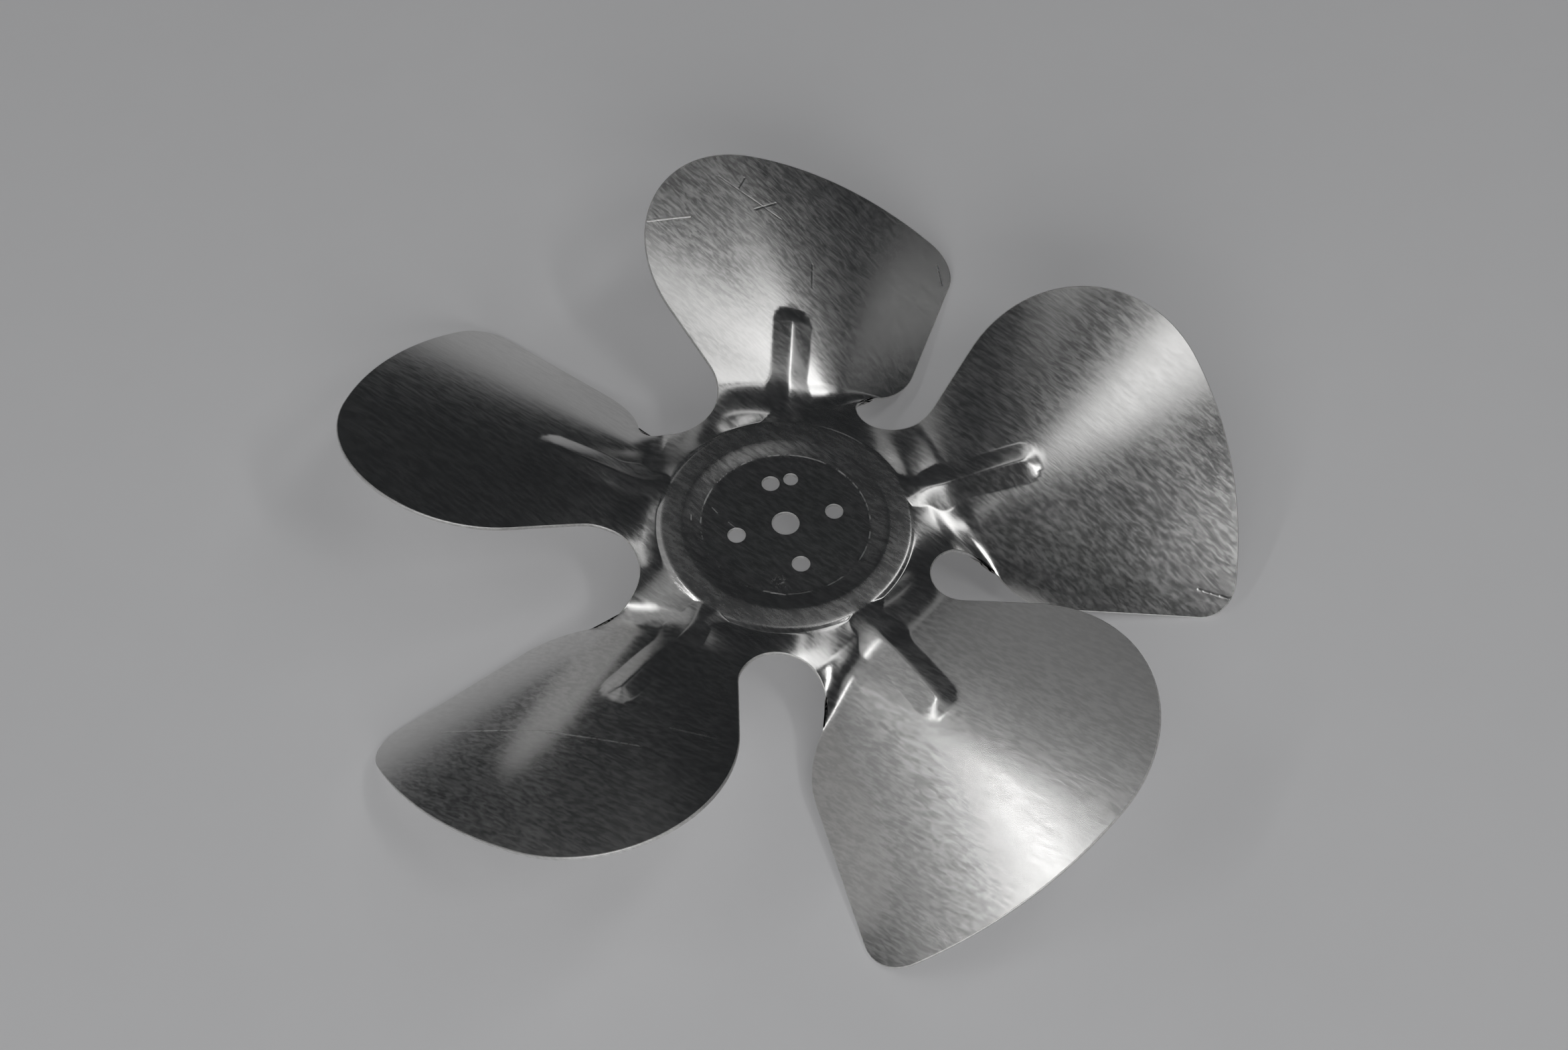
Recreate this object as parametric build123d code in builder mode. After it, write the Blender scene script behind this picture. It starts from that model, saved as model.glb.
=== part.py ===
"""Axial fan impeller, 230 mm across, blanked and pressed from one piece of aluminium sheet.

The hub disc is flat. Round it stands a low pressed ring, and from the ring one pressed rib runs out into
each blade. The blades are parts of wide cones, pressed so that the leading edge rises towards the inlet
and the trailing edge drops behind the hub.

The frame: the origin is the centre of the shaft bore on the inlet face of the hub disc, +Z points to the
inlet, and +X runs along the middle of the first blade and through one of the four screw holes. Seen from
the inlet the impeller turns anticlockwise. All sizes are in millimetres and degrees.
"""

import os
from math import asin, atan2, cos, degrees, hypot, radians, sin, sqrt

from build123d import *

# ---- Whole impeller ----
blade_count = 5
overall_diameter = 230.0
sheet = 1.0  # thickness of the aluminium

# ---- Hub disc and its holes ----
shaft_bore = 6.7
screw_circle = 25.4
screw_count = 4
screw_hole = 4.3
index_hole = 3.5
index_radius = 13.6
index_bearing = 67.3  # from +X, anticlockwise

# ---- Pressed ring round the disc ----
disc_edge_radius = 20.8  # where the flat disc starts to rise
crest_radius = 25.85
crest_height = 0.95
ring_radius = 31.15  # top of the outer wall
ring_height = 0.5
ring_wall_width = 1.05  # the wall leans outward by this much on its way down
ring_corner = 0.6  # rounding of the crest and of the wall's top

# ---- Flange between the ring and the notches ----
flange_height = -0.13  # at the foot of the ring wall
flange_rise = 0.06  # outward slope
flange_twist = 0.357  # the flange turns up towards each leading edge and down towards each trailing edge

# ---- Notches between the blades ----
notch_depth_radius = 38.0  # from the shaft to the bottom of a notch
notch_radius = 10.5

# ---- Root bend, where the flange turns into the blade ----
bend_before = 2.5  # starts this far inside the notch bottoms
bend_length = 8.8
bend_skew = 0.183  # the bend starts nearer the hub on the leading side

# ---- Blade cone: its point lies at the trailing side of the root, in the first blade's frame ----
cone_x = 38.3
cone_y = -12.4
cone_z = -4.57
cone_rake = 0.388  # rise along +X
cone_pitch = 0.509  # rise along +Y, towards the leading edge
cone_camber = 0.291  # fall away from the point, the same in every direction
cone_nose = 1.0  # rounding of the point

# ---- Blade outline, seen along the shaft ----
tip_radius = 88.5
tip_bearing = -10.8  # where the blade reaches the overall diameter
leading_corner_radius = 33.5
leading_corner_bearing = 10.2  # from the tip arc's own centre
trailing_corner_radius = 9.4
trailing_corner_bearing = -23.6
trailing_edge_lean = 18.0  # the trailing edge against -X
heel_radius = 21.3  # outward curve between the notch and the straight trailing edge

# ---- Ribs ----
rib_half_width = 4.8
rib_rise = 1.0
rib_ridge_round = 0.13  # share of the half width that is rounded at the ridge
rib_start_radius = 27.5
rib_apex_radius = 62.3
rib_root_offset = 1.7  # the rib's line passes this far from the shaft, on the leading side
rib_skew = -2.6

# ---- How finely the pressed surface is laid out ----
sector = 360 / blade_count
wall_foot = ring_radius + ring_wall_width
sheet_start = wall_foot - 0.2  # the sheet of a blade reaches this far under the ring's wall
sheet_end = overall_diameter / 2 + 6.0
fan_of_sections = 15  # upright sections through the shaft, evenly spread over one sector
bend_steps = 8
blade_steps = (1.05, 1.13, 1.25, 1.45, 1.75)  # radii of the section's points, against the end of the bend
above_all = 60.0  # taller than a blade


def polar(radius: float, bearing: float) -> Vector:
    """The point at a radius and a bearing in degrees."""
    return Vector(radius * cos(radians(bearing)), radius * sin(radians(bearing)))


def smooth(share: float) -> float:
    """0 below 0, 1 above 1, and an even S curve between."""
    share = min(max(share, 0.0), 1.0)
    return share * share * (3 - 2 * share)


def bend_share(x: float, y: float) -> float:
    """How far a point of the first blade's frame is past the root bend: 0 on the flange, 1 on the blade."""
    start = notch_depth_radius - bend_before
    return smooth((x + bend_skew * y - start) / bend_length)


def bend_radius(share: float, bearing: float) -> float:
    """The radius at which a bearing crosses the root bend, from 0 at its start to 1 at its end."""
    reach = notch_depth_radius - bend_before + share * bend_length
    return reach / (cos(radians(bearing)) + bend_skew * sin(radians(bearing)))


def flange_z(x: float, y: float) -> float:
    """Height of the flange: it waves once per blade, and is straight along the middles of the notches."""
    wave = sin(blade_count * atan2(y, x))
    return flange_height + (hypot(x, y) - wall_foot) * (flange_rise + flange_twist * wave)


def cone_z_at(x: float, y: float) -> float:
    """Height of the blade's cone."""
    dx, dy = x - cone_x, y - cone_y
    return cone_z + cone_rake * dx + cone_pitch * dy - cone_camber * sqrt(dx * dx + dy * dy + cone_nose**2)


def top_z(x: float, y: float) -> float:
    """Height of the inlet face of the sheet, without ring and ribs, in the first blade's frame."""
    share = bend_share(x, y)
    return flange_z(x, y) * (1 - share) + cone_z_at(x, y) * share


def drop(x: float, y: float) -> float:
    """Upright distance from the inlet face to the outlet face: one sheet thickness square to the cone."""
    dx, dy = x - cone_x, y - cone_y
    away = sqrt(dx * dx + dy * dy + cone_nose**2)
    slope = hypot(cone_rake - cone_camber * dx / away, cone_pitch - cone_camber * dy / away)
    return sheet * sqrt(1 + (bend_share(x, y) * slope) ** 2)


def section_line(bearing: float, sheets: float) -> list[tuple[float, float]]:
    """Radius and height of points along one section: the first two end the straight flange."""
    radii = [sheet_start] + [bend_radius(step / bend_steps, bearing) for step in range(bend_steps + 1)]
    radii += [step * radii[-1] for step in blade_steps] + [sheet_end]
    spots = [(radius, polar(radius, bearing)) for radius in radii]
    return [(radius, top_z(spot.X, spot.Y) - sheets * drop(spot.X, spot.Y)) for radius, spot in spots]


def build_sheet() -> Part:
    """One sector of plain sheet, from under the ring to past the tip, before it is cut to the outline."""
    with BuildPart() as built:
        for step in range(fan_of_sections + 1):
            bearing = sector * (step / fan_of_sections - 0.5)
            inlet = section_line(bearing, 0.0)
            outlet = section_line(bearing, 1.0)
            with BuildSketch(Plane(origin=(0, 0, 0), x_dir=polar(1, bearing), z_dir=polar(1, bearing - 90))):
                with BuildLine():
                    Line(inlet[0], inlet[1])
                    Spline(*inlet[1:])
                    Line(inlet[-1], outlet[-1])
                    Spline(*outlet[:0:-1])
                    Line(outlet[1], outlet[0])
                    Line(outlet[0], inlet[0])
                make_face()
        loft(ruled=True)
    return built.part


def touching_line(centre_a: Vector, radius_a: float, centre_b: Vector, radius_b: float) -> tuple[Vector, Vector]:
    """The points where a straight edge leaves circle a and meets circle b, passing between the two."""
    across = centre_b - centre_a
    heading = degrees(atan2(across.Y, across.X))
    turn = degrees(asin((radius_a + radius_b) / across.length))
    return centre_a + polar(radius_a, heading + turn - 90), centre_b + polar(radius_b, heading + turn + 90)


# ---- Where the outline's arcs have their centres, in the first blade's frame ----
tip_centre = polar(overall_diameter / 2 - tip_radius, tip_bearing)
leading_centre = tip_centre + polar(tip_radius - leading_corner_radius, leading_corner_bearing)
trailing_centre = tip_centre + polar(tip_radius - trailing_corner_radius, trailing_corner_bearing)
notch_ahead = polar(notch_depth_radius + notch_radius, sector / 2)
notch_behind = polar(notch_depth_radius + notch_radius, -sector / 2)

# The heel touches the straight trailing edge on its inside and the notch behind on its outside.
edge_along = polar(1, 180 - trailing_edge_lean)
edge_out = polar(1, -90 - trailing_edge_lean)
edge_start = trailing_centre + edge_out * trailing_corner_radius
heel_side = edge_start - edge_out * heel_radius
notch_gap = (notch_behind - heel_side).dot(edge_out)
notch_along = (notch_behind - heel_side).dot(edge_along)
heel_back = sqrt((heel_radius + notch_radius) ** 2 - notch_gap**2)
heel_centre = heel_side + edge_along * (notch_along - heel_back)
edge_end = heel_centre + edge_out * heel_radius
heel_end = heel_centre + (notch_behind - heel_centre).normalized() * heel_radius

leading_start, leading_end = touching_line(notch_ahead, notch_radius, leading_centre, leading_corner_radius)
tip_start = tip_centre + polar(tip_radius, leading_corner_bearing)
tip_end = tip_centre + polar(tip_radius, trailing_corner_bearing)


def arc_middle(centre: Vector, start: Vector, end: Vector) -> Vector:
    """The point of a short arc halfway between its ends."""
    return centre + ((start + end) * 0.5 - centre).normalized() * (start - centre).length


def rib_point(along: float) -> Vector:
    """A point of the rib's centre line, at a distance along it from abreast of the shaft."""
    return polar(rib_root_offset, 90 + rib_skew) + polar(along, rib_skew)


def rib_plane(along: float) -> Plane:
    """The upright plane across the rib there: its x is towards the leading edge and its y is up."""
    return Plane(origin=rib_point(along), x_dir=polar(1, 90 + rib_skew), z_dir=polar(1, rib_skew))


def rib_z(along: float, across: float) -> float:
    """Height of the rib's roof: a tent on the sheet, with half a cone at its outer end."""
    spot = rib_point(along) + polar(across, 90 + rib_skew)
    past_apex = max(along - rib_apex_radius, 0.0)
    base = top_z(spot.X, spot.Y) if spot.length > wall_foot else flange_height
    return base + rib_rise * (1 - hypot(past_apex, across) / rib_half_width)


rib_foot = 1.15 * rib_half_width  # the roof goes on a little way into the sheet
rib_stations = [rib_start_radius, ring_radius, 36.0, 40.0, 44.0, 52.0, rib_apex_radius]
rib_stations += [rib_apex_radius + share * rib_half_width for share in (0.35, 0.7, 1.0, 1.15)]


def build_rib(sheets: float, depth: float) -> Part:
    """The solid under a rib's roof, lowered by a number of sheet thicknesses, and this deep at its sides."""
    with BuildPart() as built:
        for along in rib_stations:
            past_apex = max(along - rib_apex_radius, 0.0) / rib_half_width
            turn = rib_half_width * (rib_ridge_round + 0.4 * min(past_apex, 1.0))
            heights = {}
            for across in (-rib_foot, -turn, 0.0, turn, rib_foot):
                spot = rib_point(along) + polar(across, 90 + rib_skew)
                heights[across] = rib_z(along, across) - sheets * drop(spot.X, spot.Y)
            ridge = heights[0.0] - 0.5 * rib_rise * turn / rib_half_width
            with BuildSketch(rib_plane(along)):
                with BuildLine():
                    Line((rib_foot, heights[rib_foot]), (turn, heights[turn]))
                    ThreePointArc((turn, heights[turn]), (0.0, ridge), (-turn, heights[-turn]))
                    Polyline(
                        (-turn, heights[-turn]),
                        (-rib_foot, heights[-rib_foot]),
                        (-rib_foot, heights[-rib_foot] - depth),
                        (rib_foot, heights[rib_foot] - depth),
                        (rib_foot, heights[rib_foot]),
                    )
                make_face()
        loft(ruled=True)
    return built.part


def build_ring(sheets: float, rim_floor: float, floor: float) -> Part:
    """The solid under the ring's roof, lowered by a number of sheet thicknesses, down to its floor.

    The wall goes on a little way past its foot, into the sheet of the blades, and the floor rises there.
    """
    lower = sheets * sheet
    rim = wall_foot + 0.35
    rim_z = flange_height - 0.35 * (ring_height - flange_height) / ring_wall_width
    with BuildPart() as built:
        with BuildSketch(Plane.XZ):
            with BuildLine():
                roof = FilletPolyline(
                    (disc_edge_radius, -lower),
                    (crest_radius, crest_height - lower),
                    (ring_radius, ring_height - lower),
                    (rim, rim_z - lower),
                    radius=ring_corner,
                )
                Polyline(roof @ 1, (rim, rim_floor), (rim - 0.95, floor), (disc_edge_radius, floor), roof @ 0)
            make_face()
        revolve(axis=Axis.Z)
    return built.part


# ---- One blade's sheet, cut to the outline ----
bisector_ahead = polar(notch_depth_radius, sector / 2)
bisector_behind = polar(notch_depth_radius, -sector / 2)
with BuildPart() as blade:
    with BuildSketch(Plane.XY.offset(-above_all / 2)):
        with BuildLine():
            ThreePointArc(
                bisector_ahead, arc_middle(notch_ahead, bisector_ahead, leading_start), leading_start
            )
            Line(leading_start, leading_end)
            ThreePointArc(leading_end, arc_middle(leading_centre, leading_end, tip_start), tip_start)
            ThreePointArc(tip_start, arc_middle(tip_centre, tip_start, tip_end), tip_end)
            ThreePointArc(tip_end, arc_middle(trailing_centre, tip_end, edge_start), edge_start)
            Line(edge_start, edge_end)
            ThreePointArc(edge_end, arc_middle(heel_centre, edge_end, heel_end), heel_end)
            ThreePointArc(heel_end, arc_middle(notch_behind, heel_end, bisector_behind), bisector_behind)
            Line(bisector_behind, polar(sheet_start, -sector / 2))
            ThreePointArc(polar(sheet_start, -sector / 2), polar(sheet_start, 0), polar(sheet_start, sector / 2))
            Line(polar(sheet_start, sector / 2), bisector_ahead)
        make_face()
    extrude(amount=above_all)
    add(build_sheet(), mode=Mode.INTERSECT)

# ---- The whole pressing ----
rib_depth = 0.6 * sheet
below_all = -3 * sheet
with BuildPart() as impeller:
    Cylinder(disc_edge_radius + 3.0, sheet, align=(Align.CENTER, Align.CENTER, Align.MAX))
    add(build_ring(0.0, -0.6 * sheet, -1.4 * sheet))
    with PolarLocations(0, blade_count):
        add(blade.part)
    with PolarLocations(0, blade_count):
        add(build_rib(0.0, rib_depth))

    # The press pushes the sheet up from behind, so the ring and the ribs are hollow on the outlet side.
    add(build_ring(1.0, below_all, below_all), mode=Mode.SUBTRACT)
    with PolarLocations(0, blade_count):
        add(build_rib(1.0, 2 * sheet), mode=Mode.SUBTRACT)

    Hole(shaft_bore / 2)
    with PolarLocations(screw_circle / 2, screw_count):
        Hole(screw_hole / 2)
    with Locations(polar(index_radius, index_bearing)):
        Hole(index_hole / 2)

impeller.part.label = "impeller"

os.makedirs("parts", exist_ok=True)
export_step(impeller.part, "parts/impeller.step")
print("solids", len(impeller.part.solids()), "volume", round(impeller.part.volume, 1), "valid", impeller.part.is_valid)
print("box", impeller.part.bounding_box())
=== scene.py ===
"""Axial fan impeller, pressed from one sheet of rolled aluminium: surface, finish and studio.

Lengths inside the classes are in millimetres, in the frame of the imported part: the origin is the
centre of the shaft bore on the inlet face of the hub disc, +Z points to the inlet, and +X runs
along the first blade. Meshes are turned into metres when they are put into Blender.
"""

from __future__ import annotations

import logging
import math
from dataclasses import dataclass, field, fields
from enum import Enum
from typing import Callable

import bmesh
import bpy
import numpy as np
from mathutils import Matrix, Vector
from mathutils.geometry import tessellate_polygon

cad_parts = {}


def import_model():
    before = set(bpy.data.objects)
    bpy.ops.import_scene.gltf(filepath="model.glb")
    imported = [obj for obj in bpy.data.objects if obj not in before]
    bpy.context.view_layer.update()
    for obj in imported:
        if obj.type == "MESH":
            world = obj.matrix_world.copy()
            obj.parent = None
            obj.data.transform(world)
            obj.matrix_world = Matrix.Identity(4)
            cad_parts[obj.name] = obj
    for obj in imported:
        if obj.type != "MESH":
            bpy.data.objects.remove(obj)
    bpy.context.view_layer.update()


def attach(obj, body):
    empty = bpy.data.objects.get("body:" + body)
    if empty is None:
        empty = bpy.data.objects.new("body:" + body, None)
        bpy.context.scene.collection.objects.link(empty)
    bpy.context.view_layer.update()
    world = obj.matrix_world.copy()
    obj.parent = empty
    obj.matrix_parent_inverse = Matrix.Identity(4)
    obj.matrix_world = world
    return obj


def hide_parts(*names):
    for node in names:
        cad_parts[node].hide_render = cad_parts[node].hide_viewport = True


LOG = logging.getLogger("impeller")
MM = 0.001
BLADES = 5
SECTOR = 360.0 / BLADES
Array = np.ndarray
Socket = bpy.types.NodeSocket


# --- Small helpers ---


def smooth_step(share: Array) -> Array:
    """Return 3 s^2 - 2 s^3 of a share held between 0 and 1."""
    held = np.clip(share, 0.0, 1.0)
    return held * held * (3.0 - 2.0 * held)


def soft_max(first: Array, second: Array, blend: float) -> Array:
    """Return the greater of two heights, with the crease between them rounded.

    Formula: half of the sum plus half of the root of (difference squared plus blend squared).

    Args:
        first: heights of one surface.
        second: heights of the other.
        blend: how tall the rounding stands over the crease, twice, in millimetres.

    Returns:
        The rounded upper envelope.
    """
    return 0.5 * (first + second + np.sqrt((first - second) ** 2 + blend**2))


def polar(radius: float | Array, bearing: float | Array) -> Array:
    """Return plan points at a radius and a bearing in degrees."""
    angle = np.radians(bearing)
    return np.stack([radius * np.cos(angle), radius * np.sin(angle)], axis=-1)


def turned(points: Array, degrees: float) -> Array:
    """Return points or normals, shape (..., 3), turned about the shaft."""
    cosine, sine = math.cos(math.radians(degrees)), math.sin(math.radians(degrees))
    turn = np.array([[cosine, -sine, 0.0], [sine, cosine, 0.0], [0.0, 0.0, 1.0]])
    return points @ turn.T


def arc(centre: Array, start: Array, end: Array, count: int) -> Array:
    """Return evenly spaced points on the shorter arc about a centre.

    Args:
        centre: the arc's centre.
        start: its first point, which gives the radius.
        end: a point at the bearing where it ends.
        count: how many points.

    Returns:
        The points, one row each.
    """
    radius = float(np.hypot(*(start - centre)))
    first = math.atan2(*(start - centre)[::-1])
    last = math.atan2(*(end - centre)[::-1])
    sweep = (last - first + math.pi) % (2.0 * math.pi) - math.pi
    angles = first + sweep * np.linspace(0.0, 1.0, count)
    return centre + radius * np.stack([np.cos(angles), np.sin(angles)], axis=-1)


def crowded(count: int, centre: float, width: float, gain: float) -> Array:
    """Return count + 1 shares from 0 to 1 that lie closer together about a centre.

    Formula: the density is 1 + gain exp(-((share - centre) / width)^4).

    Args:
        count: how many gaps there are between the shares.
        centre: the share about which they crowd.
        width: how far from it they still do.
        gain: how much denser they lie there.

    Returns:
        The shares, from 0 to 1.
    """
    samples = 2001
    fine = np.linspace(0.0, 1.0, samples)
    measure = np.cumsum(1.0 + gain * np.exp(-(((fine - centre) / width) ** 4)))
    measure = (measure - measure[0]) / (measure[-1] - measure[0])
    return np.interp(np.linspace(0.0, 1.0, count + 1), measure, fine)


def along(points: Array, shares: Array, pull: float = 0.0) -> Array:
    """Return points at shares of a polyline's length.

    Formula: the length of each run is increased by pull millimetres for each radian by which the
    line turns there, so that points lie closer together on its bends.

    Args:
        points: the polyline, one row each.
        shares: where to take points, from 0 at the start to 1 at the end.
        pull: millimetres added for each radian of turning.

    Returns:
        The points, one row for each share.
    """
    runs = np.diff(points, axis=0)
    length = np.hypot(runs[:, 0], runs[:, 1])
    heading = np.unwrap(np.arctan2(runs[:, 1], runs[:, 0]))
    turning = np.abs(np.gradient(heading)) if len(heading) > 1 else np.zeros(1)
    measure = np.concatenate([[0.0], np.cumsum(length + pull * turning)])
    wanted = shares * measure[-1]
    return np.stack([np.interp(wanted, measure, points[:, axis]) for axis in (0, 1)], axis=-1)


def coons(near: Array, far: Array, left: Array, right: Array, s: Array, t: Array) -> Array:
    """Fill a four-sided plan patch between its borders.

    Formula: the straight blend between near and far, plus that between left and right, less the
    straight blend of the four corners.

    Args:
        near: border points at the start of the second parameter, shape (columns, 2).
        far: border points at its end, shape (columns, 2).
        left: border points at the start of the first parameter, shape (rows, 2).
        right: border points at its end, shape (rows, 2).
        s: shares of the columns.
        t: shares of the rows.

    Returns:
        Points of shape (rows, columns, 2).
    """
    s, t = s[None, :, None], t[:, None, None]
    lofted = (1.0 - t) * near[None] + t * far[None]
    swept = (1.0 - s) * left[:, None] + s * right[:, None]
    near_line = (1.0 - s) * near[0] + s * near[-1]
    far_line = (1.0 - s) * far[0] + s * far[-1]
    corners = (1.0 - t) * near_line + t * far_line
    return lofted + swept - corners


def rounded_edge(rounding: float, sheet: float, steps: int) -> tuple[Array, Array, Array]:
    """Return the profile of a sheet's edge, rounded by a quarter of a circle at both faces.

    Args:
        rounding: radius of the quarter circles.
        sheet: thickness of the sheet.
        steps: points on each quarter.

    Returns:
        How deep each point lies under the inlet face, and how far its normal points out and up.
    """
    quarter = np.linspace(0.0, 0.5 * math.pi, steps)
    sunk = rounding * (1.0 - np.cos(quarter))
    down = np.concatenate([sunk, sheet - sunk[::-1]])
    out = np.sin(np.concatenate([quarter, quarter[::-1]]))
    up = np.concatenate([np.cos(quarter), -np.cos(quarter[::-1])])
    return down, out, up


def put(name: str, data: bpy.types.ID) -> bpy.types.Object:
    """Put data into the scene as an object at the origin, and return the object."""
    made = bpy.data.objects.new(name, data)
    bpy.context.scene.collection.objects.link(made)
    return made


def facing(place: Vector, right: Vector, back: Vector) -> Matrix:
    """Return the matrix that puts a lamp or camera at a place, by its right side and its back."""
    turn = Matrix((right, back.cross(right), back)).transposed().to_4x4()
    return Matrix.Translation(place) @ turn


# --- The pressed shape ---


@dataclass(frozen=True)
class BladeCone:
    """The wide cone that each blade is a part of, its point at the trailing side of the root."""

    point_x: float = 38.3
    point_y: float = -12.4
    point_z: float = -4.57
    rake: float = 0.388
    pitch: float = 0.509
    camber: float = 0.291
    nose: float = 1.0

    def height(self, x: Array, y: Array) -> Array:
        """Height: point_z + rake dx + pitch dy - camber times the distance from the point."""
        dx, dy = x - self.point_x, y - self.point_y
        away = np.sqrt(dx * dx + dy * dy + self.nose**2)
        return self.point_z + self.rake * dx + self.pitch * dy - self.camber * away


@dataclass(frozen=True)
class HubRing:
    """The flat hub disc and the low ring pressed round it."""

    disc_radius: float = 20.8
    crest_radius: float = 25.85
    crest_height: float = 0.95
    ring_radius: float = 31.15
    ring_height: float = 0.5
    wall_foot: float = 32.2
    foot_height: float = -0.13
    rounding: float = 0.16

    def height(self, radius: Array) -> Array:
        """Height over radius: level, up to the crest, gently down, then the steep wall.

        Formula: the lowest of the rising line, the falling line and the wall's line, and never
        under the disc's level inside its edge, each crease rounded by a soft maximum.

        Args:
            radius: distances from the shaft.

        Returns:
            Heights of the same shape.
        """
        rise = self.crest_height / (self.crest_radius - self.disc_radius)
        fall = (self.crest_height - self.ring_height) / (self.ring_radius - self.crest_radius)
        steep = (self.ring_height - self.foot_height) / (self.wall_foot - self.ring_radius)
        climbing = rise * (radius - self.disc_radius)
        rising = soft_max(climbing, np.zeros_like(radius), 0.5 * self.rounding)
        falling = self.crest_height - fall * (radius - self.crest_radius)
        wall = self.ring_height - steep * (radius - self.ring_radius)
        roof = -soft_max(-falling, -wall, self.rounding)
        return -soft_max(-rising, -roof, self.rounding)


@dataclass(frozen=True)
class Flange:
    """The sheet between the ring and the blades, waving once per blade."""

    start: float = 32.2
    height_at_start: float = -0.13
    rise: float = 0.06
    twist: float = 0.357

    def height(self, x: Array, y: Array) -> Array:
        """Height: level at the ring, then rise + twist sin(5 bearing) times the way outward."""
        outward = np.maximum(np.hypot(x, y) - self.start, 0.0)
        wave = np.sin(BLADES * np.arctan2(y, x))
        return self.height_at_start + outward * (self.rise + self.twist * wave)


@dataclass(frozen=True)
class Rib:
    """The pressed rib on each blade: a low roof with a soft ridge and a half-cone nose."""

    half_width: float = 4.8
    rise: float = 1.0
    start: float = 27.5
    apex: float = 62.3
    offset: float = 1.7
    skew: float = -2.6
    ridge_softness: float = 0.5
    foot_softness: float = 0.05
    cap_start: float = 31.5
    cap_height: float = 0.66
    cap_rise: float = 0.05
    cap_softness: float = 0.12
    tail_slope: float = 0.35
    straightening: float = 3.6

    def roof(self, x: Array, y: Array) -> Array:
        """Height of the roof over the sheet.

        Formula: rise (1 - distance to the ridge line / half width), held under a cap that starts at
        the ring's height and climbs outward until it clears the ridge.

        Args:
            x: plan coordinates.
            y: plan coordinates.

        Returns:
            Heights of the same shape, below 0 beside the rib.
        """
        angle = math.radians(self.skew)
        forward = x * math.cos(angle) + y * math.sin(angle)
        across = y * math.cos(angle) - x * math.sin(angle) - self.offset
        past = np.maximum(forward - self.apex, 0.0)
        before = np.maximum(self.start - forward, 0.0)
        distance = np.sqrt(past**2 + across**2 + self.ridge_softness**2) - 0.5 * self.ridge_softness
        roof = self.rise * (1.0 - distance / self.half_width) - self.tail_slope * before
        cap = self.cap_height + self.cap_rise * np.maximum(forward - self.cap_start, 0.0)
        return -soft_max(-roof, -cap, self.cap_softness)


@dataclass(frozen=True)
class PressedShape:
    """Height of the sheet's inlet face anywhere in the first blade's sector."""

    cone: BladeCone = field(default_factory=BladeCone)
    ring: HubRing = field(default_factory=HubRing)
    flange: Flange = field(default_factory=Flange)
    rib: Rib = field(default_factory=Rib)
    bend_start: float = 34.6
    bend_length: float = 10.6
    bend_skew: float = 0.183
    ring_softness: float = 0.14
    sink_margin: float = 3.2
    sink_slope: float = 0.5
    sheet: float = 1.0

    def plain(self, x: Array, y: Array) -> Array:
        """Height without ring and rib: the flange turns into the cone over the root bend."""
        share = smooth_step((x + self.bend_skew * y - self.bend_start) / self.bend_length)
        return self.flange.height(x, y) * (1.0 - share) + self.cone.height(x, y) * share

    def height(self, x: Array, y: Array) -> Array:
        """Full height: the plain sheet, the rib's roof or the ring's roof, whichever is highest.

        Formula: the rib stands on the mean of the plain heights a little before and after each
        place, so that its ridge runs straighter over the root bend than the sheet does. Inside the
        ring it sinks away by sink_slope.

        Args:
            x: plan coordinates.
            y: plan coordinates.

        Returns:
            Heights of the same shape.
        """
        plain = self.plain(x, y)
        angle = math.radians(self.rib.skew)
        ahead_x, ahead_y = math.cos(angle), math.sin(angle)
        reach = self.rib.straightening * np.linspace(-1.0, 1.0, 5)
        steps = [self.plain(x + step * ahead_x, y + step * ahead_y) for step in reach]
        mean = sum(steps) / len(steps)
        ribbed = soft_max(mean + self.rib.roof(x, y), plain, self.rib.foot_softness)
        radius = np.hypot(x, y)
        inside = np.maximum(self.ring.wall_foot - self.sink_margin - radius, 0.0)
        sunk = ribbed - self.sink_slope * inside
        return soft_max(self.ring.height(radius), sunk, self.ring_softness)

    @staticmethod
    def _normals(height: Callable[[Array, Array], Array], plan: Array) -> Array:
        """Return a surface's unit normals.

        Formula: minus both slopes and 1, by differences over a short step, made one long.

        Args:
            height: the surface's height over the plan.
            plan: plan points, shape (..., 2).

        Returns:
            Normals of shape (..., 3).
        """
        step = 0.02
        x, y = plan[..., 0], plan[..., 1]
        dx = (height(x + step, y) - height(x - step, y)) / (2.0 * step)
        dy = (height(x, y + step) - height(x, y - step)) / (2.0 * step)
        normal = np.stack([-dx, -dy, np.ones_like(dx)], axis=-1)
        return normal / np.linalg.norm(normal, axis=-1, keepdims=True)

    def inlet(self, plan: Array) -> tuple[Array, Array]:
        """Return points and normals of the inlet face over plan points."""
        height = self.height(plan[..., 0], plan[..., 1])
        points = np.concatenate([plan, height[..., None]], axis=-1)
        return points, self._normals(self.height, plan)

    def outlet(self, plan: Array) -> tuple[Array, Array]:
        """Return points and normals of the outlet face, one sheet thickness under the inlet face.

        Formula: each inlet point moves back along the plain sheet's normal, by the thickness.
        """
        points, normals = self.inlet(plan)
        return points - self.sheet * self._normals(self.plain, plan), -normals


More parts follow.
